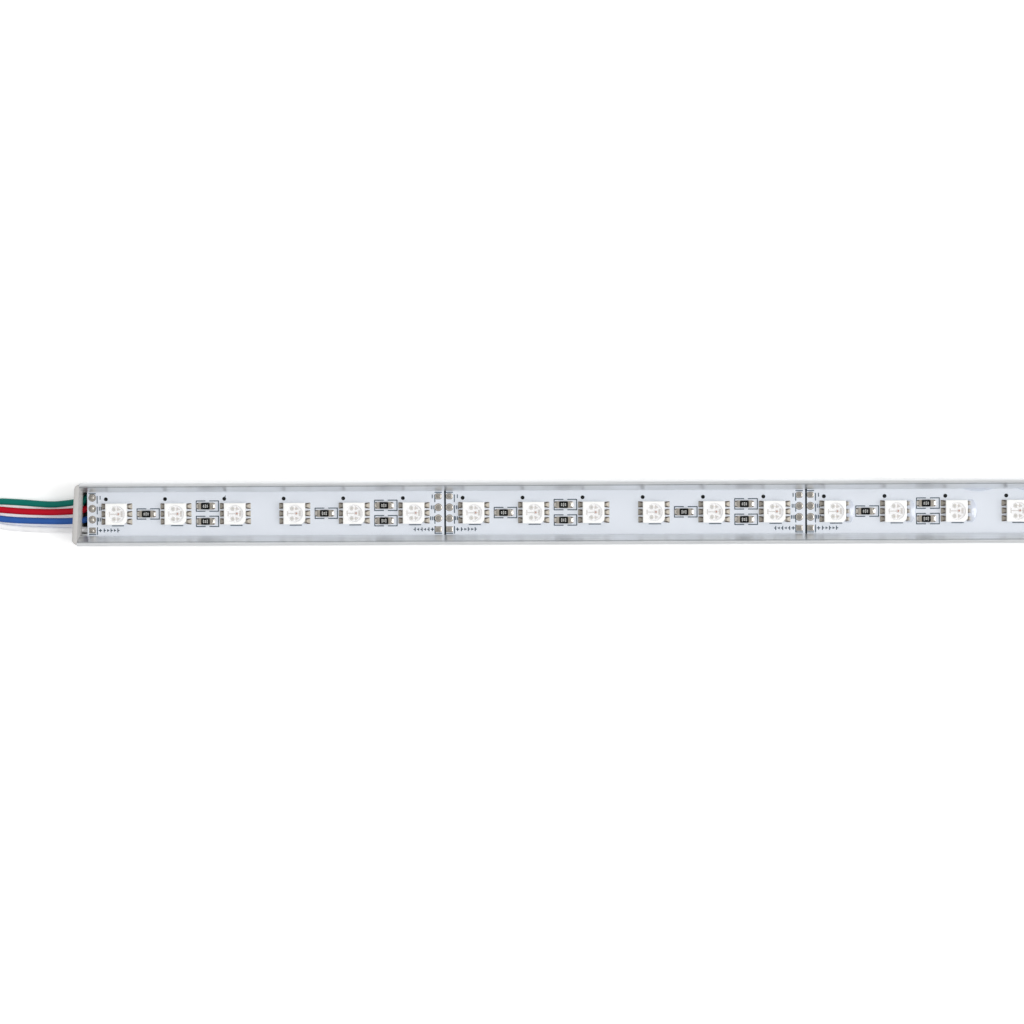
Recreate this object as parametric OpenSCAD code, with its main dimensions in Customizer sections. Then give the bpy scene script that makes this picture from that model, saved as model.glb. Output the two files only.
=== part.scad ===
// Led strip batten: a rigid RGB light bar in an aluminium channel.
// X runs along the bar with the wired end at -X, and +Z is the way the light leaves.
// The origin is the middle of the channel's flat back.

/* [Board] */
// Scored sections, each of six leds, twelve to the metre
sections = 6; // [1:1:6]
// Width of the circuit board
board_w = 11; // [10.6:0.1:11]
// Thickness of the circuit board
board_t = 1.2; // [1:0.1:1.2]

/* [Channel] */
// Outer width of the channel
channel_w = 14.7; // [14:0.1:16]
// Height of the channel
channel_h = 9; // [8.4:0.1:10]
// Thickness of the channel's back
floor_t = 1.2; // [1:0.1:1.3]
// Height of the ledges that carry the board
ledge_z = 3; // [2.9:0.1:3.1]
// Width of the board that shows between the inner walls
opening_w = 10.2; // [9.8:0.1:10.4]
// Width of each rounded rim
rim_w = 0.9; // [0.7:0.05:1]
// Length of channel past each end of the board
overhang = 1.4; // [1.2:0.1:3]
// Skew of the sawn wired end, in degrees
end_skew = 3; // [0:0.5:4]

/* [End caps] */
// Thickness of the cap's flange
flange_t = 1.2; // [1:0.1:2]
// Width of the cap's flange
flange_w = 14; // [13:0.1:14.6]
// Corner radius of the flange
flange_r = 1.1; // [0.6:0.1:1.1]
// Depth of the plug inside the channel
plug_depth = 0.92; // [0.6:0.02:1]
// Width of the plug at the rim
plug_w = 10.6; // [10:0.1:11]

/* [Leds] */
// Side of the square led housing
led_w = 5; // [4.8:0.1:5]
// Height of the led housing
led_h = 1.6; // [1.4:0.1:1.8]
// Diameter of the round cup
cup_d = 4.1; // [3.6:0.1:4.3]
// Depth of the round cup
cup_depth = 0.9; // [0.6:0.1:1.1]
// Length over the leads
lead_span = 5.5; // [5.3:0.1:5.7]

/* [Wires] */
// Diameter of the insulated wire
wire_d = 1.3; // [1.2:0.1:1.3]
// Diameter of the bare conductor
core_d = 0.6; // [0.4:0.1:0.7]
// Length of each stripped end
tip_l = 4; // [3:1:6]

/* [Hidden] */
$fn = 48;
section_l = 1000 / 12;
section_leds = 6;
board_l = sections * section_l;
wired_x = -sections * section_l / 2;
led_count = sections * section_leds;
led_pitch = section_l / section_leds;
board_z = ledge_z + board_t;
slot_play = 0.05;
foot_chamfer = 0.3;
channel_l = board_l + 2 * overhang;
rim_r = rim_w / 2;
rim_base_z = channel_h - rim_r;
wall_top_y = channel_w / 2 - rim_w;
space_w = 9.2;
plug_z = ledge_z;
flange_inset = 0.1;
plug_low_inset = 0.2;
plug_top_inset = 0.05;

// small overlap that joins two shapes of one piece
overlap = 0.01;

// led package details
led_chamfer = 0.7;
lead_w = 0.9;
lead_pitch = 1.7;
lead_t = 0.2;
window_sink = 0.05;

// chip resistors, 3.2 mm by 1.6 mm
resistor_l = 3.2;
resistor_w = 1.6;
resistor_h = 0.55;
pair_offset = 1.78;

// solder pads stand in rows 2.54 mm apart on each side of a score line
pad_rows = [3.81, 1.27, -1.27, -3.81];
pad_d = 1.5;
pad_h = 0.04;
pad_left_of_seam = 1.57;
pad_right_of_seam = 1.01;
pad_from_end = 1.18;
// the score lines stand a little past the middle between two leds
seam_shift = 0.28;
score_depth = 0.35;
score_w = 0.4;
wire_drill_d = 0.8;

// clear coat
coat_t = 0.5;
coat_gap = 0.1;
coat_w = opening_w - 0.1;

// wires: green, red, blue, white
wire_hole_y = [2.8, 0.8, -1.5, -3.7];
wire_hole_z = 2.2;
wire_hole_d = wire_d + 0.1;
tube_sides = 8;

// route of each free wire, from inside its cap hole to the hank; x counts from the board's wired end
route_green = [[-2, 2.8, 2.2], [-3.5, 2.7, 2.2], [-6, 2.4, 1.7], [-9, 2.2, 1], [-12, 2.35, 0.7],
    [-15, 2.6, 0.65], [-18, 2.8, 0.65], [-21, 2.95, 0.7], [-24, 2.95, 0.9], [-27, 2.9, 1]];
route_red = [[-2, 0.8, 2.2], [-3.5, 0.65, 2.2], [-6, 0.5, 1.7], [-9, 0.4, 1], [-12, 0.45, 0.7],
    [-15, 0.55, 0.65], [-18, 0.75, 0.65], [-21, 1, 0.7], [-24, 1.3, 0.9], [-27, 1.5, 1]];
route_blue = [[-2, -1.5, 2.2], [-3.5, -1.6, 2.2], [-6, -1.7, 1.7], [-9, -1.7, 1], [-12, -1.65, 0.7],
    [-15, -1.55, 0.65], [-18, -1.4, 0.65], [-21, -1.1, 0.7], [-24, -0.45, 0.9], [-27, 0.1, 1]];
route_white = [[-2, -3.7, 2.2], [-3.5, -3.75, 2.2], [-6, -3.8, 1.7], [-9, -3.75, 1], [-12, -3.65, 0.7],
    [-15, -3.5, 0.65], [-18, -3.3, 0.65], [-21, -2.85, 0.7], [-24, -2, 0.9], [-27, -1.3, 1]];

// the hank: four lanes out, one turn, four lanes back
hank_x = -27;
hank_y = -2;
hank_z = 1;
lane = 1.4;
turn_x = -58;
turn_inner_r = 3.9;
flare_start_x = -47;
flare_end_x = -57;
lane_half_w = 4 * lane;
turn_outer_r = turn_inner_r + 3 * lane + wire_d / 2;
tie_x = -44;
tie_l = 4;
tie_t = 0.3;
tie_play = 0.05;

WIRE_NAMES = ["green", "red", "blue", "white"];
LED_NODES = [for (i = [1 : led_count]) led_name(i)];

function led_name(i) = str("led_", i < 10 ? "0" : "", i);
function led_x(i) = wired_x + (i - 0.5) * led_pitch;
function between_x(i) = led_x(i) + led_pitch / 2;
function seam_x(s) = wired_x + s * section_l + seam_shift;
// columns of pads: the board's two ends, and both sides of each score line
function pad_columns() = concat([wired_x + pad_from_end],
    [for (s = [1 : sections - 1], d = [-pad_left_of_seam, pad_right_of_seam])
        seam_x(s) + d],
    [board_l / 2 - pad_from_end]);
// where the insulation of wire k ends, so that all four wires are equally long
function insulation_end_x(k) = hank_x - PI * lane * (3 - k);
function return_y(k) = hank_y - (3.5 - k) * lane;

// sweep of one tube along a list of points
function unit(v) = v / norm(v);
function tangent(p, i) = unit(p[min(i + 1, len(p) - 1)] - p[max(i - 1, 0)]);
function tube_ring(c, t, r) =
    let (side = unit(cross([0, 0, 1], t)), up = cross(t, side))
    [for (a = [0 : tube_sides - 1])
        c + r * (cos(360 * a / tube_sides) * side + sin(360 * a / tube_sides) * up)];

module tube(points, d) {
    rings = [for (i = [0 : len(points) - 1]) each tube_ring(points[i], tangent(points, i), d / 2)];
    last = (len(points) - 1) * tube_sides;
    walls = [for (i = [0 : len(points) - 2], a = [0 : tube_sides - 1])
        let (b = (a + 1) % tube_sides, lower = i * tube_sides, upper = lower + tube_sides)
        [lower + a, upper + a, upper + b, lower + b]];
    first_cap = [[for (a = [0 : tube_sides - 1]) a]];
    last_cap = [[for (a = [tube_sides - 1 : -1 : 0]) last + a]];
    polyhedron(rings, concat(first_cap, walls, last_cap), convexity = 4);
}

// half of the channel's section is drawn for +Y and mirrored
module channel_half_section() {
    outer = channel_w / 2;
    slot_top_z = board_z + slot_play;
    slot_y = board_w / 2 + 2 * slot_play;
    polygon([[0, 0], [outer - foot_chamfer, 0], [outer, foot_chamfer], [outer, rim_base_z],
        [wall_top_y, rim_base_z], [opening_w / 2, slot_top_z], [slot_y, slot_top_z], [slot_y, ledge_z],
        [space_w / 2, ledge_z], [space_w / 2, floor_t], [0, floor_t]]);
    translate([outer - rim_r, rim_base_z]) circle(rim_r);
}

module along_x(length) {
    rotate([90, 0, 90]) linear_extrude(length, center = true) children();
}

module channel() {
    spare = 5;
    color([0.78, 0.79, 0.8])
    difference() {
        translate([spare / 2, 0, 0])
        along_x(channel_l + spare)
        union() {
            channel_half_section();
            mirror([1, 0]) channel_half_section();
        }
        // the wired end is sawn slightly out of square
        translate([-channel_l / 2, 0, 0])
        rotate([0, 0, -end_skew])
        translate([-10, -channel_w, -1])
        cube([10, 2 * channel_w, channel_h + 2]);
        translate([channel_l / 2, -channel_w, -1])
        cube([10, 2 * channel_w, channel_h + 2]);
    }
}

module circuit_board() {
    color([0.86, 0.89, 0.92])
    difference() {
        translate([wired_x, -board_w / 2, ledge_z]) cube([board_l, board_w, board_t]);
        for (s = [1 : sections - 1])
            translate([seam_x(s), 0, board_z])
            rotate([90, 0, 0])
            linear_extrude(board_w + 1, center = true)
            polygon([[-score_w / 2, overlap], [score_w / 2, overlap], [0, -score_depth]]);
        for (y = pad_rows)
            translate([wired_x + pad_from_end, y, 0]) cylinder(d = wire_drill_d, h = 3 * board_z);
    }
}

module cap_flange() {
    // rounded in plan and in end view
    intersection() {
        translate([0, 0, flange_inset])
        linear_extrude(channel_h - 2 * flange_inset)
        union() {
            translate([0, -flange_w / 2]) square([flange_t - flange_r + overlap, flange_w]);
            translate([0, -flange_w / 2 + flange_r]) square([flange_t, flange_w - 2 * flange_r]);
            for (side = [-1, 1])
                translate([flange_t - flange_r, side * (flange_w / 2 - flange_r)]) circle(flange_r);
        }
        rotate([90, 0, 90])
        linear_extrude(flange_t)
        union() {
            translate([-flange_w / 2, flange_r]) square([flange_w, channel_h - 2 * flange_r]);
            translate([-flange_w / 2 + flange_r, flange_inset])
            square([flange_w - 2 * flange_r, channel_h - 2 * flange_inset]);
            for (side = [-1, 1], z = [flange_inset + flange_r, channel_h - flange_inset - flange_r])
                translate([side * (flange_w / 2 - flange_r), z]) circle(flange_r);
        }
    }
}

// a cap at the +X end: the flange stands outside and the plug reaches back into the channel
module cap() {
    half_low = opening_w / 2 - plug_low_inset;
    top_z = channel_h - plug_top_inset;
    root = 0.2;
    color([0.77, 0.77, 0.76])
    union() {
        cap_flange();
        rotate([90, 0, 90])
        translate([0, 0, -plug_depth])
        linear_extrude(plug_depth + root)
        polygon([[-half_low, plug_z], [half_low, plug_z], [plug_w / 2, top_z], [-plug_w / 2, top_z]]);
    }
}

module end_cap_wired() {
    color([0.77, 0.77, 0.76])
    difference() {
        translate([-channel_l / 2, 0, 0]) rotate([0, 0, 180 - end_skew]) cap();
        for (y = wire_hole_y)
            translate([-channel_l / 2, y, wire_hole_z])
            rotate([0, 90, 0])
            cylinder(d = wire_hole_d, h = 8, center = true);
    }
}

module end_cap_blank() {
    translate([channel_l / 2, 0, 0]) cap();
}

module led(i) {
    half = led_w / 2;
    color([0.97, 0.97, 0.95])
    translate([led_x(i), 0, board_z])
    difference() {
        linear_extrude(led_h)
        polygon([[-half, -half], [half - led_chamfer, -half], [half, -half + led_chamfer], [half, half],
            [-half, half]]);
        translate([0, 0, led_h - cup_depth]) cylinder(d = cup_d, h = cup_depth + 1);
    }
}

module led_windows() {
    color([0.94, 0.94, 0.91])
    for (i = [1 : led_count])
        translate([led_x(i), 0, board_z + led_h - cup_depth])
        cylinder(d = cup_d, h = cup_depth - window_sink);
}

module led_leads() {
    foot = (lead_span - led_w) / 2;
    color([0.8, 0.8, 0.78])
    for (i = [1 : led_count], side = [-1, 1], row = [-1 : 1])
        translate([led_x(i) + side * (led_w + foot) / 2, row * lead_pitch, board_z + lead_t / 2])
        cube([foot, lead_w, lead_t], center = true);
}

module resistor(x, y) {
    translate([x - resistor_l / 2, y - resistor_w / 2, board_z]) cube([resistor_l, resistor_w, resistor_h]);
}

module resistors_single() {
    color([0.12, 0.12, 0.13])
    for (i = [1 : 3 : led_count]) resistor(between_x(i), 0);
}

module resistors_paired() {
    color([0.12, 0.12, 0.13])
    for (i = [2 : 3 : led_count], side = [-1, 1]) resistor(between_x(i), side * pair_offset);
}

module solder_pads() {
    color([0.85, 0.85, 0.83])
    for (c = [0 : len(pad_columns()) - 1], y = pad_rows)
        translate([pad_columns()[c], y, board_z])
        difference() {
            cylinder(d = pad_d, h = pad_h);
            // the wired column is open for the conductors
            if (c == 0) translate([0, 0, -1]) cylinder(d = wire_drill_d, h = 2);
        }
}

module wire_solder() {
    color([0.8, 0.8, 0.8])
    for (y = pad_rows)
        translate([wired_x + pad_from_end, y, board_z + pad_h])
        difference() {
            rotate_extrude() polygon([[0, 0], [0.6, 0], [0.45, 0.28], [0.2, 0.42], [0, 0.45]]);
            translate([0, 0, -0.1]) cylinder(d = core_d, h = 0.4);
        }
}

module wire_cores() {
    drop_x = wired_x + pad_from_end;
    bend_z = wire_hole_z;
    start_x = wired_x + 0.5;
    color([0.82, 0.6, 0.45])
    for (y = pad_rows) {
        translate([start_x, y, bend_z]) rotate([0, 90, 0]) cylinder(d = core_d, h = drop_x - start_x);
        translate([drop_x, y, bend_z]) cylinder(d = core_d, h = board_z + pad_h + 0.3 - bend_z);
        translate([drop_x, y, bend_z]) sphere(d = core_d);
    }
}

module clear_coat() {
    end_gap = 2.4;
    color([0.95, 0.97, 1, 0.4])
    difference() {
        translate([wired_x + end_gap, -coat_w / 2, board_z + coat_gap / 10])
        cube([board_l - 2 * end_gap, coat_w, coat_t]);
        for (i = [1 : led_count])
            translate([led_x(i), 0, board_z + coat_t / 2])
            cube([lead_span + 2 * coat_gap, led_w + 2 * coat_gap, 2 * coat_t], center = true);
        for (i = [1 : 3 : led_count])
            translate([between_x(i), 0, board_z + coat_t / 2])
            cube([resistor_l + 2 * coat_gap, resistor_w + 2 * coat_gap, 2 * coat_t], center = true);
        for (i = [2 : 3 : led_count], side = [-1, 1])
            translate([between_x(i), side * pair_offset, board_z + coat_t / 2])
            cube([resistor_l + 2 * coat_gap, resistor_w + 2 * coat_gap, 2 * coat_t], center = true);
        // a band on each score line stays clear for cutting and soldering
        for (s = [1 : sections - 1])
            translate([seam_x(s), 0, board_z + coat_t / 2])
            cube([2 * end_gap, coat_w + 1, 2 * coat_t], center = true);
    }
}

module inner_wire(k, tint) {
    hole = wire_hole_y[k];
    row = pad_rows[k];
    color(tint)
    translate([wired_x, 0, 0])
    tube([[-2, hole, wire_hole_z], [-1.5, hole, wire_hole_z], [-0.4, row, wire_hole_z],
        [0.5, row, wire_hole_z]], wire_d);
}

module inner_green() { inner_wire(0, [0.04, 0.41, 0.35]); }
module inner_red() { inner_wire(1, [0.75, 0.06, 0.16]); }
module inner_blue() { inner_wire(2, [0.14, 0.33, 0.65]); }
module inner_white() { inner_wire(3, [0.94, 0.94, 0.96]); }

module free_wire(route) {
    translate([wired_x, 0, 0]) tube(route, wire_d);
}

module wire_green() { color([0.04, 0.41, 0.35]) free_wire(route_green); }
module wire_red() { color([0.75, 0.06, 0.16]) free_wire(route_red); }
module wire_blue() { color([0.14, 0.33, 0.65]) free_wire(route_blue); }
module wire_white() { color([0.94, 0.94, 0.96]) free_wire(route_white); }

// the outline steps back where each returning insulation ends
module wire_hank() {
    color([0.5, 0.5, 0.55])
    translate([wired_x, hank_y, hank_z - wire_d / 2])
    linear_extrude(wire_d)
    union() {
        polygon(concat(
            [[hank_x, lane_half_w], [flare_start_x, lane_half_w], [flare_end_x, turn_outer_r],
             [turn_x, turn_outer_r], [turn_x, -turn_outer_r], [flare_end_x, -turn_outer_r],
             [flare_start_x, -lane_half_w]],
            [for (k = [0 : 3], step = [0, 1]) [insulation_end_x(k), -(4 - k - step) * lane]]));
        translate([turn_x, 0]) circle(turn_outer_r);
    }
}

module wire_tips() {
    color([0.8, 0.8, 0.8])
    for (k = [0 : 3])
        translate([wired_x + insulation_end_x(k), return_y(k), hank_z])
        rotate([0, 90, 0])
        cylinder(d = core_d + 0.2, h = tip_l);
}

module hank_tie() {
    inner_w = 2 * (lane_half_w + tie_play);
    inner_h = wire_d + 2 * tie_play;
    color([0.1, 0.1, 0.1])
    translate([wired_x + tie_x, hank_y, hank_z])
    difference() {
        cube([tie_l, inner_w + 2 * tie_t, 2 * hank_z], center = true);
        cube([tie_l + 1, inner_w, inner_h], center = true);
    }
}

channel();
circuit_board();
end_cap_wired();
end_cap_blank();
for (i = [1 : led_count])
    led(i);
led_windows();
led_leads();
resistors_single();
resistors_paired();
solder_pads();
wire_solder();
wire_cores();
clear_coat();
inner_green();
inner_red();
inner_blue();
inner_white();
wire_green();
wire_red();
wire_blue();
wire_white();
wire_hank();
wire_tips();
hank_tie();
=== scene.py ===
"""Looks of the led strip batten, laid out as an add-on and run as a script."""

import math
import random

import bmesh
import bpy
from bpy.props import FloatProperty, FloatVectorProperty, PointerProperty
from mathutils import Matrix, Vector, noise


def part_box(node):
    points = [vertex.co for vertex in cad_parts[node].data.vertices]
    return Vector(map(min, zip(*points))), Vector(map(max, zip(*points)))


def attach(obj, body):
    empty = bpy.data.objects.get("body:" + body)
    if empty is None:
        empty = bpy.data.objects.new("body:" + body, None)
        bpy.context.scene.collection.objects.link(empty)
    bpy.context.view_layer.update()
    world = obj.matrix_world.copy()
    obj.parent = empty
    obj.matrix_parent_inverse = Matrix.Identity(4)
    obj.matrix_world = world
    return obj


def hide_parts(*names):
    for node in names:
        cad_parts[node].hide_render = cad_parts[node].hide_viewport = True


bl_info = {
    "name": "Led strip batten",
    "version": (1, 0, 0),
    "blender": (4, 5, 0),
    "location": "View3D > Sidebar > Batten",
    "description": "Builds the detailed pieces of a rigid led light bar round its packed frame",
    "category": "Add Mesh",
}

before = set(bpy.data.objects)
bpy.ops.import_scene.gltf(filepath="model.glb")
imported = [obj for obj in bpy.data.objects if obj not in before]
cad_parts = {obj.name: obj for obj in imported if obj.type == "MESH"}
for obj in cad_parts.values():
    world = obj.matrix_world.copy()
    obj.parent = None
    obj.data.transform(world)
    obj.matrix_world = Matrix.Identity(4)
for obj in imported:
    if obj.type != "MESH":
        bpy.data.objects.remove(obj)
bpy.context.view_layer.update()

MM = 0.001
BODY = "root"
WIRES = ("green", "red", "blue", "white")


def middle(node):
    low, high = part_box(node)
    return (low + high) / 2


def extent(node):
    low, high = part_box(node)
    return high - low


def linear(code):
    """Turns an sRGB hex colour such as #D9E2E9 into linear red, green and blue."""
    parts = [int(code[i : i + 2], 16) / 255 for i in (1, 3, 5)]
    return tuple(c / 12.92 if c <= 0.04045 else ((c + 0.055) / 1.055) ** 2.4 for c in parts)


LED_NODES = sorted(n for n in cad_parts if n.startswith("led_") and n[4:].isdigit())
LED_X = [middle(n).x for n in LED_NODES]
PITCH = LED_X[1] - LED_X[0]
BOARD_LOW, BOARD_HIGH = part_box("circuit_board")
BOARD_TOP = BOARD_HIGH.z
CHANNEL_LOW, CHANNEL_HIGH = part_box("channel")
LEDS_A_SECTION = 6
LEDS_A_GROUP = 3
SECTION = PITCH * LEDS_A_SECTION
SECTIONS = len(LED_X) // LEDS_A_SECTION


# ---------------------------------------------------------------- sizes and colours


def size(label, words, value):
    return FloatProperty(name=label, description=words, default=value, min=0, unit="LENGTH", precision=5)


def colour(label, words, code):
    return FloatVectorProperty(
        name=label, description=words, default=linear(code), subtype="COLOR", size=3, min=0, max=1
    )


class BattenSizes(bpy.types.PropertyGroup):
    """Sizes of the visible details, in metres"""

    opening: size("Board opening", "Width of the board between the inner walls", 10.2 * MM)
    rim: size("Rim width", "Width of each rounded rim of the channel", 0.9 * MM)
    housing: size("Led housing", "Side of the square led housing", extent("led_01").x)
    housing_height: size("Led height", "Height of the led housing", extent("led_01").z)
    cup: size("Led cup", "Diameter of the round cup in the housing", 4.1 * MM)
    lead_pitch: size("Lead pitch", "Distance between an led's leads", 1.7 * MM)
    pad: size("Solder pad", "Diameter of a round solder pad", 1.84 * MM)
    pad_pitch: size("Pad pitch", "Distance between the rows of solder pads", 2.54 * MM)
    dot: size("Corner dot", "Diameter of the printed dot beside each led", 0.9 * MM)
    ink: size("Ink width", "Width of a printed line", 0.22 * MM)
    wire: size("Wire", "Diameter of the insulated wire", 1.5 * MM)


class BattenColours(bpy.types.PropertyGroup):
    """Colours of the finishes"""

    aluminium: colour("Aluminium", "Anodised channel", "#F0F2F4")
    mask: colour("Solder mask", "White printed mask on the board", "#E1E6EE")
    housing: colour("Led housing", "Moulded housing", "#FDFDFB")
    cap: colour("End cap", "Moulded end cap", "#C9C7C5")
    ink: colour("Print", "Printed marks on the board", "#29465A")
    green: colour("Green wire", "Green insulation", "#036F63")
    red: colour("Red wire", "Red insulation", "#BE0824")
    blue: colour("Blue wire", "Blue insulation", "#3260AC")
    white: colour("White wire", "White insulation", "#FAFAFC")


def sizes():
    return bpy.context.scene.batten_sizes


def colours():
    return bpy.context.scene.batten_colours


# ---------------------------------------------------------------- nodes and materials


def add_node(tree, kind, inputs=(), **settings):
    """Adds one node, sets its properties, and fills or links its inputs by name or number."""
    made = tree.nodes.new(kind)
    for name, value in settings.items():
        setattr(made, name, value)
    for name, value in dict(inputs).items():
        if isinstance(value, bpy.types.NodeSocket):
            tree.links.new(value, made.inputs[name])
        else:
            made.inputs[name].default_value = value
    return made


def opaque(rgb):
    return (*rgb, 1)


def start_material(name):
    material = bpy.data.materials.new(name)
    material.use_nodes = True
    material.node_tree.nodes.clear()
    return material, material.node_tree


def end_material(material, shader):
    add_node(material.node_tree, "ShaderNodeOutputMaterial", {"Surface": shader})
    return material


def grain(tree, grain_mm, stretch=(1, 1, 1), detail=2.0, seed=0.0):
    """Noise whose grains measure grain_mm, drawn out along an axis where stretch is below 1."""
    place = add_node(tree, "ShaderNodeTexCoord").outputs["Object"]
    scaled = add_node(
        tree, "ShaderNodeMapping", {"Vector": place, "Scale": stretch, "Location": (seed, seed, seed)}
    ).outputs["Vector"]
    return add_node(
        tree, "ShaderNodeTexNoise", {"Vector": scaled, "Scale": 1 / (grain_mm * MM), "Detail": detail}
    ).outputs["Fac"]


def spread(tree, value, source, target=(0.0, 1.0)):
    """Maps the source range of a value onto the target range."""
    ranges = {"From Min": source[0], "From Max": source[1], "To Min": target[0], "To Max": target[1]}
    return add_node(tree, "ShaderNodeMapRange", {"Value": value, **ranges}).outputs["Result"]


def relief(tree, height, depth_mm, strength=0.5):
    """The normal of a surface whose height runs over depth_mm."""
    inputs = {"Height": height, "Distance": depth_mm * MM, "Strength": strength}
    return add_node(tree, "ShaderNodeBump", inputs).outputs["Normal"]


def shade_between(tree, factor, first, second):
    """A colour between two, by the middle part of a noise factor."""
    share = spread(tree, factor, (0.35, 0.65))
    inputs = {"Factor": share, 6: opaque(first), 7: opaque(second)}
    return add_node(tree, "ShaderNodeMix", inputs, data_type="RGBA").outputs[2]


def darker(rgb, amount):
    return tuple(c * amount for c in rgb)


def plain_finish(name, rgb, grain_mm, roughness, relief_mm=0.004, shift=0.93, **sockets):
    """An even finish with a slight colour drift and a fine relief of the real grain."""
    material, tree = start_material(name)
    tone = shade_between(tree, grain(tree, grain_mm * 12), darker(rgb, shift), rgb)
    normal = relief(tree, grain(tree, grain_mm), relief_mm)
    inputs = {"Base Color": tone, "Roughness": roughness, "Normal": normal}
    inputs.update({key.replace("_", " "): value for key, value in sockets.items()})
    shader = add_node(tree, "ShaderNodeBsdfPrincipled", inputs).outputs["BSDF"]
    return end_material(material, shader)


def anodised_aluminium():
    # Extruded and clear anodised: the die leaves fine lines along the bar, so what it mirrors
    # stays sharp along the lines and blurs across them.
    material, tree = start_material("anodised_aluminium")
    rgb = tuple(colours().aluminium)
    lines = grain(tree, 0.16, stretch=(0.01, 1, 1), detail=3)
    tone = shade_between(tree, lines, darker(rgb, 0.9), rgb)
    patches = grain(tree, 9, stretch=(0.25, 1, 1))
    rough = spread(tree, patches, (0.3, 0.7), (0.28, 0.36))
    normal = relief(tree, lines, 0.006, 0.6)
    along = add_node(tree, "ShaderNodeTangent", direction_type="UV_MAP").outputs["Tangent"]
    inputs = {"Base Color": tone, "Metallic": 1.0, "Roughness": rough, "Normal": normal}
    inputs.update({"Anisotropic": 0.8, "Tangent": along})
    shader = add_node(tree, "ShaderNodeBsdfPrincipled", inputs).outputs["BSDF"]
    return end_material(material, shader)


def groove_painted_shade():
    # The same alloy in the bottom of the groove under each rim, made darker as painted shade: a dark line
    # at the rim's foot.
    return plain_finish("groove_aluminium", linear("#A9ADB1"), 0.1, 0.5, Metallic=0.8)


def cavity_painted_shade():
    # Inside the cavity under the board: painted shade, a near-black metal that stands for the deep shadow
    # seen through the gap by the cap.
    return plain_finish("mill_finish_aluminium", linear("#2B2C2D"), 0.2, 0.6, Metallic=0.6)


def scorched_laminate():
    # The bottom of a score line: painted shadow, a dark slate colour where the V lies in shade.
    return plain_finish("scorched_laminate", linear("#2E3C45"), 0.08, 0.7)


def flank_painted_shade():
    # Painted shade on the sloping flanks of the leads' and resistors' fillets and on the pads' rims: a dark
    # brownish grey metal.
    return plain_finish("sheared_copper_edge", linear("#6E655C"), 0.08, 0.45, Metallic=0.6)


def cup_floor():
    # White polymer on the floor of the cup, even and pale under the resin.
    return plain_finish("white_cup_floor", linear("#FDFDFA"), 0.1, 0.6, shift=0.98)


def sawn_aluminium():
    # Cut with a circular saw: duller and finely scored across the section.
    return plain_finish("sawn_aluminium", linear("#BDBFC1"), 0.12, 0.42, relief_mm=0.02, Metallic=1.0)


def solder_mask():
    # Screen-printed white epoxy over copper: smooth, a little cool, with a soft gloss.
    return plain_finish(
        "white_solder_mask", tuple(colours().mask), 0.5, 0.38, relief_mm=0.006, shift=0.985, IOR=1.5
    )


def board_laminate():
    # Pressed glass fibre and resin, seen at the edges and in the score lines.
    return plain_finish("glass_fibre_laminate", linear("#A8AFA9"), 0.08, 0.6, relief_mm=0.01)


def printed_ink():
    # Screen-printed epoxy ink: a dark slate film, nearly matt.
    return plain_finish("screen_printed_ink", tuple(colours().ink), 0.15, 0.55, relief_mm=0.003, shift=0.8)


def black_ink():
    # The same ink printed thicker, so it looks black and hardly shines.
    return plain_finish(
        "black_printed_ink", linear("#04070A"), 0.15, 0.5, relief_mm=0.003, Specular_IOR_Level=0.1
    )


def tin_plate():
    # Tin plated over copper: a warm grey, dull metal.
    return plain_finish("tin_plated_copper", linear("#ADA79D"), 0.08, 0.55, relief_mm=0.006, Metallic=1.0)


def solder_metal():
    # Reflowed solder: bright and wavy where it froze.
    return plain_finish("reflowed_solder", linear("#C8C3BB"), 0.35, 0.26, relief_mm=0.05, Metallic=1.0)


def copper_wire():
    # Drawn copper: a bare reddish core.
    return plain_finish("drawn_copper", linear("#C98F6A"), 0.1, 0.3, Metallic=1.0)


def reflector_polymer():
    # Moulded white reflector polymer: nearly pure white and softly lit from within.
    rgb = tuple(colours().housing)
    return plain_finish(
        "moulded_reflector_polymer", rgb, 0.06, 0.5, relief_mm=0.003, shift=0.985, IOR=1.5
    )


def silver_lead_frame():
    # Silver-plated stamping at the bottom of the cup: a pale, slightly warm grey.
    return plain_finish("silver_plated_frame", linear("#DBD7D1"), 0.05, 0.5, relief_mm=0.003)


def red_chip():
    # The red emitter: a brown-red crystal block.
    return plain_finish("red_crystal", linear("#C08070"), 0.05, 0.3)


def pale_chip():
    # The green and blue emitters: pale crystal blocks.
    return plain_finish("pale_crystal", linear("#C6CCC4"), 0.05, 0.2)


def gold_bond():
    # Drawn gold bonding wire.
    return plain_finish("gold_bond_wire", linear("#D8B978"), 0.02, 0.25, Metallic=1.0)


def resistor_glaze():
    # Black glass printed over the resistor's film.
    return plain_finish(
        "black_overglaze", linear("#0A0A0B"), 0.15, 0.3, relief_mm=0.01, Specular_IOR_Level=0.25
    )


def alumina():
    # White fired ceramic: the resistor's body under the glaze.
    return plain_finish("fired_alumina", linear("#E9E7E0"), 0.05, 0.6)


def marking_white():
    # White ink printed on the resistors.
    return plain_finish("white_marking_ink", linear("#E8E9E6"), 0.05, 0.6)


def moulded_cap():
    # Injection-moulded ABS with a lightly sparked mould: light grey, dull, faintly grained.
    return plain_finish(
        "moulded_abs", tuple(colours().cap), 0.12, 0.48, relief_mm=0.012, shift=0.95, IOR=1.52
    )


def pvc(name):
    # Extruded PVC insulation: saturated, with the soft gloss of plasticised vinyl.
    rgb = tuple(getattr(colours(), name))
    return plain_finish(
        f"extruded_pvc_{name}", rgb, 0.3, 0.4, relief_mm=0.01, shift=0.88, Specular_IOR_Level=0.12
    )


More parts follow.
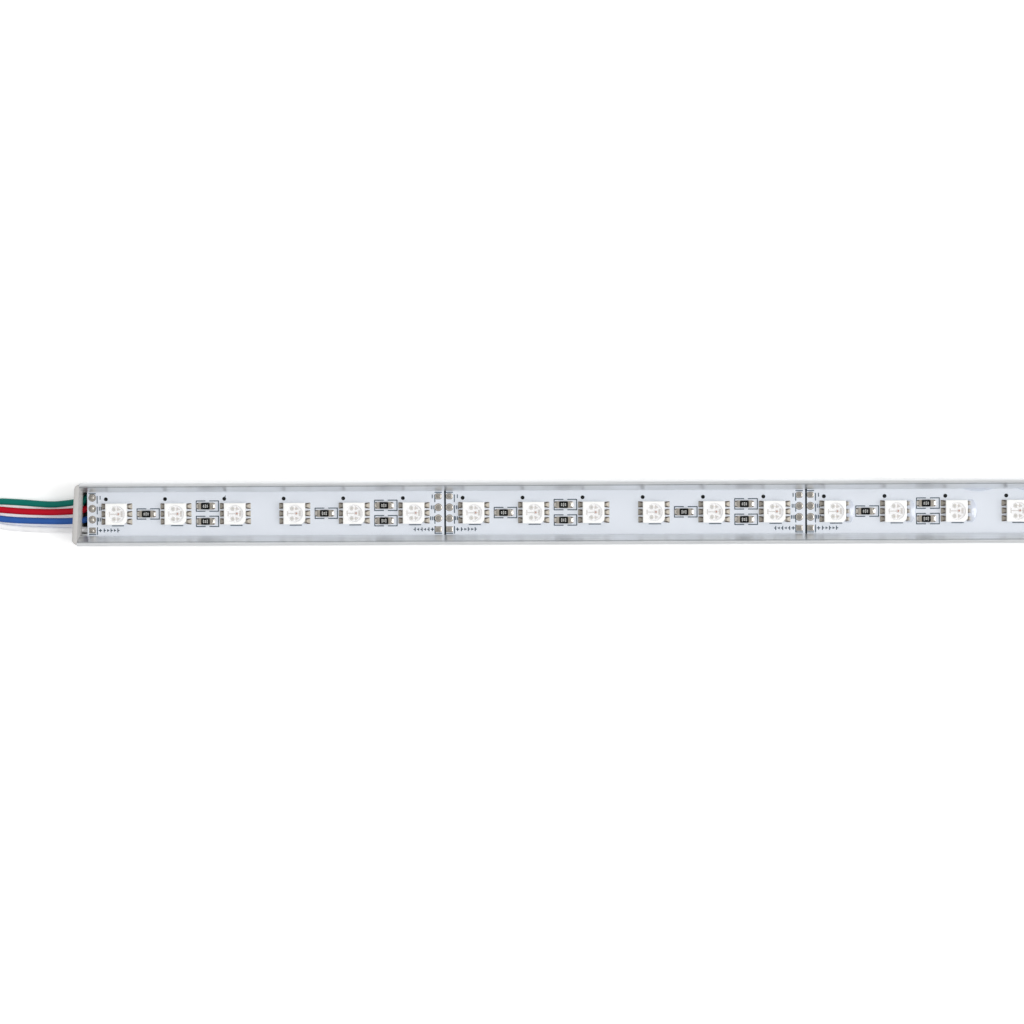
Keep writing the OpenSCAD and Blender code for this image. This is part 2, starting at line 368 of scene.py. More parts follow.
def woven_strap():
    # Hook-and-loop strap: black nylon loops, matt.
    return plain_finish("woven_nylon", linear("#17181A"), 0.25, 0.85, relief_mm=0.12, shift=0.5, IOR=1.5)


def film(name, rgb, milky, gloss_share, roughness):
    """A clear layer: mostly see-through, a little milky, with an even share of gloss on top."""
    material, tree = start_material(name)
    clear = add_node(tree, "ShaderNodeBsdfTransparent", {"Color": opaque(rgb)}).outputs["BSDF"]
    milk = add_node(tree, "ShaderNodeBsdfDiffuse", {"Color": opaque(rgb)}).outputs["BSDF"]
    under = add_node(tree, "ShaderNodeMixShader", {0: milky, 1: clear, 2: milk}).outputs["Shader"]
    wave = relief(tree, grain(tree, 1.6), 0.02)
    shine = {"Color": (1, 1, 1, 1), "Roughness": roughness, "Normal": wave}
    gloss = add_node(tree, "ShaderNodeBsdfGlossy", shine).outputs["BSDF"]
    both = add_node(tree, "ShaderNodeMixShader", {0: gloss_share, 1: under, 2: gloss}).outputs["Shader"]
    return end_material(material, both)


def led_resin():
    # Cast silicone in the cup: clear with a little haze, so the stamping shows faintly.
    return film("cast_silicone", linear("#FEFEFF"), 0.05, 0.03, 0.15)


def clear_coat():
    # Flooded clear resin on the board: almost unseen but for a thin even gloss.
    return film("flooded_clear_resin", (1, 1, 1), 0.005, 0.03, 0.08)


def pooled_resin():
    # The same resin at its menisci, given a milky pale colour as a painted highlight, so it reads as a pale
    # patch.
    return film("pooled_clear_resin", linear("#EEF3FC"), 0.6, 0.06, 0.1)


MAKERS = {
    "aluminium": anodised_aluminium,
    "sawn": sawn_aluminium,
    "groove": groove_painted_shade,
    "cavity": cavity_painted_shade,
    "scorched": scorched_laminate,
    "cut_edge": flank_painted_shade,
    "cup_floor": cup_floor,
    "mask": solder_mask,
    "laminate": board_laminate,
    "ink": printed_ink,
    "black_ink": black_ink,
    "tin": tin_plate,
    "solder": solder_metal,
    "copper": copper_wire,
    "housing": reflector_polymer,
    "lead_frame": silver_lead_frame,
    "red_chip": red_chip,
    "pale_chip": pale_chip,
    "gold": gold_bond,
    "glaze": resistor_glaze,
    "alumina": alumina,
    "marking": marking_white,
    "cap": moulded_cap,
    "strap": woven_strap,
    "resin": led_resin,
    "coat": clear_coat,
    "pool": pooled_resin,
}
made_materials = {}


def finish(name):
    """The material of that name, made once."""
    if name not in made_materials:
        made_materials[name] = pvc(name) if name in WIRES else MAKERS[name]()
    return made_materials[name]


# ---------------------------------------------------------------- shapes


class Shape:
    """Gathers vertices and faces of one piece; each face has a number in the piece's finishes."""

    def __init__(self):
        self.points, self.faces, self.slots = [], [], []

    def loft(self, rings, slot=0, caps=(True, True), closed=True, edge_slots=None):
        """Joins rings of equal length with quads, and shuts the two ends; edge_slots names other slots."""
        first, count = len(self.points), len(rings[0])
        edge_slots = edge_slots or {}
        for ring in rings:
            self.points += [Vector(p) for p in ring]
        steps = count if closed else count - 1
        for i in range(len(rings) - 1):
            for j in range(steps):
                k = (j + 1) % count
                low, high = first + i * count, first + (i + 1) * count
                self.faces.append((low + j, low + k, high + k, high + j))
                self.slots.append(edge_slots.get(j, slot))
        if caps[0]:
            self.faces.append(tuple(first + j for j in reversed(range(count))))
            self.slots.append(slot)
        if caps[1]:
            last = first + (len(rings) - 1) * count
            self.faces.append(tuple(last + j for j in range(count)))
            self.slots.append(slot)

    def plate(self, outline, low, high, bevel=0.0, slot=0):
        """An upright plate: the outline runs anticlockwise seen from above."""
        rings = [[(x, y, low) for x, y in outline]]
        if bevel:
            rings.append([(x, y, high - bevel) for x, y in outline])
            rings.append([(x, y, high) for x, y in inset(outline, bevel)])
        else:
            rings.append([(x, y, high) for x, y in outline])
        self.loft(rings, slot)

    def mound(self, rings, rim_slot, slot=0):
        """A low heap of rings from the foot up, whose first band has another finish."""
        self.loft(rings[:2], rim_slot, caps=(True, False))
        self.loft(rings[1:], slot, caps=(False, True))

    def tube(self, path, radius, count=12, slot=0):
        """A round bar along a path of points; radius is one number or one per point."""
        path = [Vector(p) for p in path]
        radii = radius if hasattr(radius, "__len__") else [radius] * len(path)
        rings = []
        for i, point in enumerate(path):
            ahead = (path[min(i + 1, len(path) - 1)] - path[max(i - 1, 0)]).normalized()
            side = ahead.cross(Vector((0, 0, 1)))
            side = side.normalized() if side.length > 0.01 else Vector((0, 1, 0))
            up = side.cross(ahead)
            rings.append([point + radii[i] * (math.cos(a) * side + math.sin(a) * up) for a in turns(count)])
        self.loft(rings, slot)

    def piece(self, name, finishes, slot, replaced=(), smooth=35, at=None):
        """Makes the Blender object, gives it its finishes and rides it on the body."""
        mesh = bpy.data.meshes.new(name)
        mesh.from_pydata(self.points, [], self.faces)
        for label in finishes:
            mesh.materials.append(finish(label))
        mesh.polygons.foreach_set("material_index", self.slots)
        tidy = bmesh.new()
        tidy.from_mesh(mesh)
        bmesh.ops.recalc_face_normals(tidy, faces=tidy.faces)
        tidy.to_mesh(mesh)
        tidy.free()
        mesh.shade_smooth()
        mesh.set_sharp_from_angle(angle=math.radians(smooth))
        made = bpy.data.objects.new(name, mesh)
        if at is not None:
            made.location = at
        return hang(made, replaced)


def hang(made, replaced=()):
    """Puts a piece in the scene, on the body and the nodes that it stands for."""
    if made.name not in bpy.context.scene.collection.objects:
        bpy.context.scene.collection.objects.link(made)
    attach(made, BODY)
    if replaced:
        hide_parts(*replaced)
    return made


def turns(count):
    return [2 * math.pi * i / count for i in range(count)]


def inset(outline, amount):
    """Moves each corner of a convex outline inwards, towards its middle."""
    cx = sum(p[0] for p in outline) / len(outline)
    cy = sum(p[1] for p in outline) / len(outline)
    moved = []
    for x, y in outline:
        reach = math.hypot(x - cx, y - cy) or 1
        keep = max(0.0, 1 - 1.3 * amount / reach)
        moved.append((cx + (x - cx) * keep, cy + (y - cy) * keep))
    return moved


def rounded_box(cx, cy, width, depth, radius, steps=4):
    """Outline of a rectangle with round corners."""
    outline = []
    for quarter in range(4):
        sx, sy = ((1, 1), (-1, 1), (-1, -1), (1, -1))[quarter]
        for i in range(steps + 1):
            a = math.radians(90 * (quarter + i / steps))
            x = cx + sx * (width / 2 - radius) + radius * math.cos(a)
            y = cy + sy * (depth / 2 - radius) + radius * math.sin(a)
            outline.append((x, y))
    return outline


def disc(cx, cy, radius, count=20):
    return [(cx + radius * math.cos(a), cy + radius * math.sin(a)) for a in turns(count)]


def smooth_path(points, steps=6):
    """Runs a smooth curve through the points."""
    points = [Vector(p) for p in points]
    ends = [2 * points[0] - points[1], *points, 2 * points[-1] - points[-2]]
    path = []
    for a, b, c, d in zip(ends, ends[1:], ends[2:], ends[3:]):
        for i in range(steps):
            t = i / steps
            square, cube = 2 * a - 5 * b + 4 * c - d, 3 * b - a - 3 * c + d
            path.append(0.5 * ((2 * b) + (c - a) * t + square * t**2 + cube * t**3))
    path.append(points[-1])
    return path


# ---------------------------------------------------------------- stage


# the camera over the wired half of the bar: place in metres, turn in degrees, lens and sensor in mm
CAMERA_PLACE = (-0.09078, 0.03034, 0.90063)
CAMERA_TURN = (-1.9507, 3.8223, -0.3602)
CAMERA_LENS = 136.67
CAMERA_SENSOR = 36
# the table is larger than any view needs and lies a hair under the object
TABLE_HALF = 6
TABLE_DROP = 0.02 * MM
# one large soft box high past the blank end, so neither wall shades the board
LAMP_PLACE = Vector((1.5, -0.15, 1.45))
LAMP_AIM = Vector((-0.1, 0, 0))
LAMP_SIDE = 1.2
LAMP_WATTS = 19


def make_camera(scene):
    eye = bpy.data.cameras.new("camera")
    eye.sensor_width = CAMERA_SENSOR
    eye.lens = CAMERA_LENS
    eye.clip_end = 20
    camera = bpy.data.objects.new("camera", eye)
    camera.location = CAMERA_PLACE
    camera.rotation_euler = [math.radians(a) for a in CAMERA_TURN]
    scene.collection.objects.link(camera)
    scene.camera = camera


def make_table(scene):
    """A pale, evenly lit table."""
    half = TABLE_HALF
    corners = [(-half, -half, 0), (half, -half, 0), (half, half, 0), (-half, half, 0)]
    floor_mesh = bpy.data.meshes.new("floor")
    floor_mesh.from_pydata(corners, [], [(0, 1, 2, 3)])
    floor = bpy.data.objects.new("floor", floor_mesh)
    floor.location.z = -TABLE_DROP
    material, tree = start_material("lit_white_table")
    tone = shade_between(tree, grain(tree, 40), (0.9, 0.9, 0.9), (0.93, 0.93, 0.93))
    inputs = {"Base Color": tone, "Roughness": 0.7}
    inputs.update({"Emission Color": (1, 1, 1, 1), "Emission Strength": 0.25})
    table = add_node(tree, "ShaderNodeBsdfPrincipled", inputs).outputs["BSDF"]
    floor_mesh.materials.append(end_material(material, table))
    scene.collection.objects.link(floor)


def make_world(scene):
    """A tent of light, brighter upwards and towards +Y, with a dimmer opening straight overhead."""
    world = bpy.data.worlds.new("studio")
    world.use_nodes = True
    scene.world = world
    tree = world.node_tree
    tree.nodes.clear()
    way = add_node(tree, "ShaderNodeTexCoord").outputs["Generated"]
    parts = add_node(tree, "ShaderNodeSeparateXYZ", {"Vector": way}).outputs
    tent = spread(tree, parts["Z"], (0.93, 0.985), (1.0, 0.3))
    back = spread(tree, parts["Y"], (-0.9, 0.9), (-0.12, 0.12))
    rise = spread(tree, parts["Z"], (0.1, 0.85), (0.47, 1.03))
    even = add_node(tree, "ShaderNodeMath", {0: tent, 1: back}, operation="ADD").outputs["Value"]
    level = add_node(tree, "ShaderNodeMath", {0: even, 1: rise}, operation="MULTIPLY").outputs["Value"]
    light = {"Color": (1, 1, 1, 1), "Strength": level}
    sky = add_node(tree, "ShaderNodeBackground", light).outputs["Background"]
    add_node(tree, "ShaderNodeOutputWorld", {"Surface": sky})


def make_lamp(scene):
    lamp = bpy.data.lights.new("soft_box_right", "AREA")
    lamp.size = LAMP_SIDE
    lamp.energy = LAMP_WATTS
    light = bpy.data.objects.new("soft_box_right", lamp)
    light.location = LAMP_PLACE
    light.rotation_euler = (LAMP_AIM - LAMP_PLACE).to_track_quat("-Z", "Y").to_euler()
    scene.collection.objects.link(light)


def make_stage():
    scene = bpy.context.scene
    scene.view_settings.view_transform = "Standard"
    scene.view_settings.look = "None"
    make_camera(scene)
    make_table(scene)
    make_world(scene)
    make_lamp(scene)


# ---------------------------------------------------------------- wires

# routes of the free wires, in millimetres; x counts from the board's wired end
ROUTES = {
    "green": [(-2, 2.8, 2.2), (-3.5, 2.7, 2.2), (-6, 2.4, 1.7), (-9, 2.2, 1), (-12, 2.35, 0.7),
              (-15, 2.6, 0.65), (-18, 2.8, 0.65), (-21, 2.95, 0.7), (-24, 2.95, 0.9), (-27, 2.9, 1)],
    "red": [(-2, 0.8, 2.2), (-3.5, 0.65, 2.2), (-6, 0.5, 1.7), (-9, 0.4, 1), (-12, 0.45, 0.7),
            (-15, 0.55, 0.65), (-18, 0.75, 0.65), (-21, 1, 0.7), (-24, 1.3, 0.9), (-27, 1.5, 1)],
    "blue": [(-2, -1.5, 2.2), (-3.5, -1.6, 2.2), (-6, -1.7, 1.7), (-9, -1.7, 1), (-12, -1.65, 0.7),
             (-15, -1.55, 0.65), (-18, -1.4, 0.65), (-21, -1.1, 0.7), (-24, -0.45, 0.9), (-27, 0.1, 1)],
    "white": [(-2, -3.7, 2.2), (-3.5, -3.75, 2.2), (-6, -3.8, 1.7), (-9, -3.75, 1), (-12, -3.65, 0.7),
              (-15, -3.5, 0.65), (-18, -3.3, 0.65), (-21, -2.85, 0.7), (-24, -2, 0.9), (-27, -1.3, 1)],
}
# the folded part, in millimetres: its middle line, the gap between lanes and the turn at its far end
HANK_Y = -2
HANK_Z = 1
LANE = 1.4
TURN_X = -58
TURN_INNER = 3.9
FLARE = (-47, -57)
HANK_X = -27
# the bare end of each wire: its length and the twist of its strands, in millimetres
TIP = 4
STRAND_LAY = 5


def wire_path(name):
    """The whole centreline of one wire: its route, its lane out, the turn and its lane back."""
    rank = WIRES.index(name)
    lane = (3.5 - rank) * LANE
    turn = TURN_INNER + (3 - rank) * LANE
    end_x = HANK_X - math.pi * LANE * (3 - rank)
    points = list(ROUTES[name])
    flare_in, flare_out = FLARE
    middle_x = (flare_in + flare_out) / 2
    points += [(x, HANK_Y + lane, HANK_Z) for x in (-32, -37, -42, flare_in + 1)]
    points += [(middle_x, HANK_Y + (lane + turn) / 2, HANK_Z), (flare_out, HANK_Y + turn, HANK_Z)]
    for step in range(1, 8):
        a = math.pi * step / 8
        points.append((TURN_X - turn * math.sin(a), HANK_Y + turn * math.cos(a), HANK_Z))
    points += [(flare_out, HANK_Y - turn, HANK_Z), (middle_x, HANK_Y - (lane + turn) / 2, HANK_Z)]
    points += [(x, HANK_Y - lane, HANK_Z) for x in (flare_in + 1, -42) if x < end_x - 1]
    points.append((end_x, HANK_Y - lane, HANK_Z))
    return [Vector((BOARD_LOW.x + x * MM, y * MM, z * MM)) for x, y, z in points]


def make_wires():
    radius = sizes().wire / 2
    strap = make_tie()
    for name in WIRES:
        path = wire_path(name)
        line = bpy.data.curves.new(f"wire_{name}", "CURVE")
        line.dimensions = "3D"
        line.bevel_depth = radius
        line.bevel_resolution = 4
        line.resolution_u = 6
        line.use_fill_caps = True
        run = line.splines.new("BEZIER")
        run.bezier_points.add(len(path) - 1)
        for knot, point in zip(run.bezier_points, path):
            knot.co = point
            knot.handle_left_type = knot.handle_right_type = "AUTO"
        line.materials.append(finish(name))
        wire = bpy.data.objects.new(f"free_wire_{name}", line)
        hang(wire, (f"wire_{name}", "wire_hank"))
        tip = make_tip(name, path[-1])


def make_tip(name, start):
    """Seven tinned strands, twisted together, past the end of the insulation."""
    shape = Shape()
    strand, lay_length, steps = 0.13 * MM, STRAND_LAY * MM, 12
    for number in range(7):
        away = 0 if number == 6 else 0.27 * MM
        path = []
        for i in range(steps + 1):
            along = (TIP * i / steps) * MM
            a = math.tau * (number / 6 + along / lay_length)
            path.append(start + Vector((along - 0.2 * MM, away * math.cos(a), away * math.sin(a))))
        shape.tube(path, strand, count=7)
    return shape.piece(f"tinned_tip_{name}", ["tin"], "tinned_copper", ["wire_tips"], smooth=60)


def make_tie():
    """The strap round the folded wires: a thin closed band with soft edges."""
    low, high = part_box("hank_tie")
    shape = Shape()
    centre = (low + high) / 2
    half_y, half_z = (high.y - low.y) / 2, (high.z - low.z) / 2
    thick = 0.28 * MM
    # across the strap: share of its half width, and share of its thickness
    band = ((-1, 0.15), (-0.94, 0), (0.94, 0), (1, 0.15), (1, 0.85), (0.94, 1), (-0.94, 1), (-1, 0.85))
    half_x = (high.x - low.x) / 2
    sections = []
    for step in range(48):
        a = math.tau * step / 48
        # a flat loop with round ends
        y = (half_y - half_z) * max(-1, min(1, 1.25 * math.cos(a)))
        out = Vector((0, math.cos(a), math.sin(a))).normalized()
        ring = []
        for dx, dr in band:
            reach = half_z - thick * dr
            ring.append(Vector((centre.x + dx * half_x, centre.y + y, centre.z)) + out * reach)
        sections.append(ring)
    sections.append(sections[0])
    shape.loft(sections, caps=(False, False))
    made = shape.piece("hank_strap", ["strap"], "nylon_tie", ["hank_tie"])
    weld(made, 50)
    return made


def weld(made, crease):
    """Joins points that lie together, and keeps edges sharper than the crease angle, in degrees."""
    tidy = bmesh.new()
    tidy.from_mesh(made.data)
    bmesh.ops.remove_doubles(tidy, verts=tidy.verts, dist=1e-7)
    bmesh.ops.recalc_face_normals(tidy, faces=tidy.faces)
    tidy.to_mesh(made.data)
    tidy.free()
    made.data.set_sharp_from_angle(angle=math.radians(crease))


def make_inner_wires():
    """The insulated ends inside the cap and under the board, and the bare cores up through it."""
    radius = sizes().wire / 2
    rows = pad_rows()
    holes = [ROUTES[name][0] for name in WIRES]
    start = BOARD_LOW.x
    for name, (hole_x, hole_y, hole_z), row in zip(WIRES, holes, rows):
        shape = Shape()
        z = hole_z * MM
        path = [
            (start + hole_x * MM, hole_y * MM, z),
            (start - 1.5 * MM, hole_y * MM, z),
            (start - 0.5 * MM, row, z),
            (start + 0.5 * MM, row, z),
        ]
        shape.tube(smooth_path(path), radius * 0.99, count=20)
        shape.piece(f"inner_wire_{name}", [name], f"pvc_{name}", [f"inner_{name}"])
    cores = Shape()
    drop = start + WIRED_PAD_X
    for row in rows:
        z = holes[0][2] * MM
        bend = 0.3 * MM
        path = [
            (start + 0.4 * MM, row, z),
            (drop - bend, row, z),
            (drop - 0.3 * bend, row, z + 0.3 * bend),
            (drop, row, z + bend),
            (drop, row, BOARD_TOP + 0.3 * MM),
        ]
        cores.tube(path, 0.29 * MM, count=12)
    cores.piece("wire_core_ends", ["copper"], "bare_copper", ["wire_cores"])


# ---------------------------------------------------------------- channel and caps


# depth of the groove under each rim, in millimetres
GROOVE = 0.17
# edges of the section, counted along channel_section(): the groove's, and those round the cavity
GROOVE_EDGE = 15
CAVITY_EDGES = range(20, 27)
# the wired end is sawn and capped a little askew
END_LEAN = math.radians(3)
CHANNEL_STATIONS = 24
LEANING_STATIONS = 3


def channel_section():
    """The whole outline of the extrusion, anticlockwise looking along -X, as y and z."""
    s = sizes()
    outer, top = CHANNEL_HIGH.y, CHANNEL_HIGH.z
    rim = s.rim / 2
    lip = 0.12 * MM
    ledge, slot_top = BOARD_LOW.z, BOARD_TOP + 0.05 * MM
    slot_y = BOARD_HIGH.y + 0.1 * MM
    space = 4.6 * MM
    floor = 1.2 * MM
    foot = 0.3 * MM
    half = [(outer - foot, 0), (outer - 0.3 * foot, 0.09 * MM), (outer, foot)]
    arc = [math.radians(a) for a in range(0, 181, 15)]
    half += [(outer - rim + rim * math.cos(a), top - rim + rim * math.sin(a)) for a in arc]
    # the groove at the foot of the rim, then the leaning wall
    foot_y, foot_z = outer - 2 * rim, top - rim
    half += [
        (foot_y - GROOVE * MM, foot_z - 0.1 * MM),
        (s.opening / 2 + 0.35 * lip, slot_top + 1.5 * lip),
        (s.opening / 2, slot_top + lip),
        (s.opening / 2, slot_top),
        (slot_y, slot_top),
        (slot_y, ledge),
        (space, ledge),
        (space, floor + foot),
        (space - foot, floor),
    ]
    return half + [(-y, z) for y, z in reversed(half)]


def make_channel():
    shape = Shape()
    section = channel_section()
    span = CHANNEL_HIGH.x - CHANNEL_LOW.x
    # the leaning end all but meets the cap's flange
    start = CHANNEL_LOW.x + 0.01 * MM
    lean = math.tan(END_LEAN)
    burr = 0.06 * MM
    stations = [start, start + burr]
    stations += [start + span * i / CHANNEL_STATIONS for i in range(1, CHANNEL_STATIONS)]
    stations += [CHANNEL_HIGH.x - burr, CHANNEL_HIGH.x]
    rings = []
    for number, x in enumerate(stations):
        skew = lean * max(0.0, 1 - number / LEANING_STATIONS)
        rings.append([(x + y * skew, y, z) for y, z in section])
    last = len(section) - 1
    # slot 2, the groove under each rim, carries the painted shade line
    other = {GROOVE_EDGE: 2, last - 1 - GROOVE_EDGE: 2}
    # the faces round the cavity take the near-black painted shade
    other.update({edge: 3 for edge in CAVITY_EDGES})
    shape.loft(rings, edge_slots=other)
    # the two saw cuts
    shape.slots[-1] = shape.slots[-2] = 1
    made = shape.piece(
        "aluminium_channel",
        ["aluminium", "sawn", "groove", "cavity"],
        "anodised_aluminium",
        ["channel"],
        smooth=28,
    )
    lengthwise_map(made.data)


def lengthwise_map(mesh):
    """A map whose first direction runs across the bar, so that gloss spreads across the die lines."""
    layer = mesh.uv_layers.new(name="UVMap")
    for loop, uv in zip(mesh.loops, layer.data):
        point = mesh.vertices[loop.vertex_index].co
        uv.uv = (point.y * 20 + abs(point.z) * 20 * (1 if point.y > 0 else -1), point.x * 4)


def make_cap(name, node, at_x, facing, lean, holes):
    """A push-in cap: pillowed flange outside, tapered plug inside, and round wire holes."""
    flange, plug_deep = 1.2 * MM, 0.92 * MM
    flange_half, low_z, high_z = 7 * MM, 0.1 * MM, 8.9 * MM
    round_y, round_z = 1.1 * MM, 0.35 * MM
    shape = Shape()
    rings = []
    for away, turn in [(0, 0)] + [(flange - round_y + round_y * math.sin(a), a) for a in ROUND_STEPS]:
        narrow = round_y * (1 - math.cos(turn))
        lower = round_z * (1 - math.cos(turn))
        outline = rounded_box(
            0,
            (low_z + high_z) / 2,
            2 * (flange_half - narrow),
            high_z - low_z - 2 * lower,
            max(0.15 * MM, 0.6 * MM - 0.4 * narrow),
        )
        rings.append([(away, y, z) for y, z in outline])
    shape.loft(rings)
    plug = []
    half_low, half_high, foot = 4.9 * MM, 5.3 * MM, 3 * MM
    edge = 0.12 * MM
    soft = 0.42 * MM
    rounding = [
        (-plug_deep + soft * (1 - math.sin(a)), soft * (1 - math.cos(a))) for a in ROUND_STEPS[::3]
    ]
    for away, draw in [(0.3 * MM, 0)] + rounding:
        plug.append(
            [
                (away, -half_low + draw, foot + draw),
                (away, half_low - draw, foot + draw),
                (away, half_high - draw, CHANNEL_HIGH.z - 0.2 * MM),
                (away, half_high - edge - draw, CHANNEL_HIGH.z - 0.05 * MM - draw),
                (away, -half_high + edge + draw, CHANNEL_HIGH.z - 0.05 * MM - draw),
                (away, -half_high + draw, CHANNEL_HIGH.z - 0.2 * MM),
            ]
        )
    shape.loft(plug)
    turn = Matrix.Rotation(math.pi if facing < 0 else 0, 4, "Z") @ Matrix.Rotation(-lean, 4, "Z")
    shape.points = [turn @ p + Vector((at_x, 0, 0)) for p in shape.points]
    made = shape.piece(name, ["cap"], "grey_abs", [node], smooth=40)
    for _, y, z in holes:
        drill(made, Vector((at_x, y * MM, z * MM)), sizes().wire / 2 + 0.02 * MM)
    return made


ROUND_STEPS = [math.radians(a) for a in range(0, 91, 10)]


def drill(made, centre, radius):
    """Cuts a round hole along X through a piece."""
    cutter = Shape()
    circle = [Vector((0, radius * math.cos(a), radius * math.sin(a))) for a in turns(32)]
    cutter.loft([[centre + Vector((x, 0, 0)) + p for p in circle] for x in (-4 * MM, 4 * MM)])
    mesh = bpy.data.meshes.new("drill")
    mesh.from_pydata(cutter.points, [], cutter.faces)
    tool = bpy.data.objects.new("drill", mesh)
    bpy.context.scene.collection.objects.link(tool)
    cut = made.modifiers.new("hole", "BOOLEAN")
    cut.object = tool
    cut.operation = "DIFFERENCE"
    cut.solver = "EXACT"
    apply_modifiers(made)
    bpy.data.objects.remove(tool)


def apply_modifiers(made):
    graph = bpy.context.evaluated_depsgraph_get()
    result = bpy.data.meshes.new_from_object(made.evaluated_get(graph))
    made.modifiers.clear()
    made.data = result


def make_caps():
    span = CHANNEL_HIGH.x
    holes = [ROUTES[name][0] for name in WIRES]
    make_cap("wired_end_cap", "end_cap_wired", -span, -1, END_LEAN, holes)
    make_cap("blank_end_cap", "end_cap_blank", span, 1, 0, [])


# ---------------------------------------------------------------- board

# columns of pads: from the board's ends, and to the left and right of a score line
WIRED_PAD_X = 1.18 * MM
LEFT_OF_SCORE = 1.57 * MM
RIGHT_OF_SCORE = 1.01 * MM
SCORE_SHIFT = 0.28 * MM


def score_lines():
    return [BOARD_LOW.x + SECTION * i + SCORE_SHIFT for i in range(1, SECTIONS)]


def pad_rows():
    step = sizes().pad_pitch
    return [1.5 * step, 0.5 * step, -0.5 * step, -1.5 * step]


def pad_columns():
    """Centre of each column of pads, with the way its marks stand: +1 on its right, -1 on its left."""
    columns = [(BOARD_LOW.x + WIRED_PAD_X, 1)]
    for x in score_lines():
        columns += [(x - LEFT_OF_SCORE, -1), (x + RIGHT_OF_SCORE, 1)]
    return columns + [(BOARD_HIGH.x - WIRED_PAD_X, -1)]


def resistor_places():
    """Centres of the chip resistors: one after the first led of three, two after the second."""
    single, paired = [], []
    for i, x in enumerate(LED_X):
        if i % LEDS_A_GROUP == 0:
            single.append((x + PITCH / 2, 0))
        if i % LEDS_A_GROUP == 1:
            paired += [(x + PITCH / 2, 1.78 * MM), (x + PITCH / 2, -1.78 * MM)]
    return single, paired


def make_board():
    """The laminate, cut part way through at its score lines, under white solder mask."""
    shape = Shape()
    low, high = BOARD_LOW, BOARD_HIGH
    # the V of a score line: its depth, and its half width at the top and at the bottom
    depth, half, tip = 0.35 * MM, 0.22 * MM, 0.04 * MM
    top = [(low.x, high.z)]
    for x in score_lines():
        bottom = high.z - depth
        top += [(x - half, high.z), (x - tip, bottom), (x + tip, bottom), (x + half, high.z)]
    top.append((high.x, high.z))
    outline = [(low.x, low.z), *top, (high.x, low.z)]
    for (ax, az), (bx, bz) in zip(outline, outline[1:] + outline[:1]):
        first = len(shape.points)
        corners = ((ax, low.y, az), (bx, low.y, bz), (bx, high.y, bz), (ax, high.y, az))
        shape.points += [Vector(p) for p in corners]
        shape.faces.append((first, first + 1, first + 2, first + 3))
        in_score = min(az, bz) > low.z and not az == bz == high.z
        # faces inside a score line take the dark painted shadow
        shape.slots.append(0 if az == bz == high.z else 2 if in_score else 1)
    for y in (low.y, high.y):
        first = len(shape.points)
        shape.points += [Vector((x, y, z)) for x, z in outline]
        shape.faces.append(tuple(range(first, first + len(outline))))
        shape.slots.append(1)
    finishes = ["mask", "laminate", "scorched"]
    made = shape.piece("scored_board", finishes, "white_solder_mask", ["circuit_board"], smooth=20)
    weld(made, 15)


def ink_line(shape, ax, ay, bx, by):
    """A straight printed line between two points that lie along X or Y."""
    wide = sizes().ink
    box = rounded_box((ax + bx) / 2, (ay + by) / 2, abs(bx - ax) + wide, abs(by - ay) + wide, 0.4 * wide, 2)
    shape.plate(box, BOARD_TOP - 0.01 * MM, BOARD_TOP + 0.02 * MM)


def ink_marks(shape, x, y, count, side):
    """Generic marks in place of letters: one to three short bars, or a plus."""
    if count == 4:
        ink_line(shape, x - 0.3 * MM, y, x + 0.3 * MM, y)
        ink_line(shape, x, y - 0.3 * MM, x, y + 0.3 * MM)
        return
    for i in range(count):
        bar = x + side * (i - (count - 1) / 2) * 0.4 * MM
        ink_line(shape, bar, y - 0.34 * MM, bar, y + 0.34 * MM)


# the led whose dot was printed with a short tail of ink, counted from 0
SLIPPED_DOT = 2
# middle of each led's dot, from the led's middle, in millimetres
DOT_PLACE = (-2.57, 3.45)


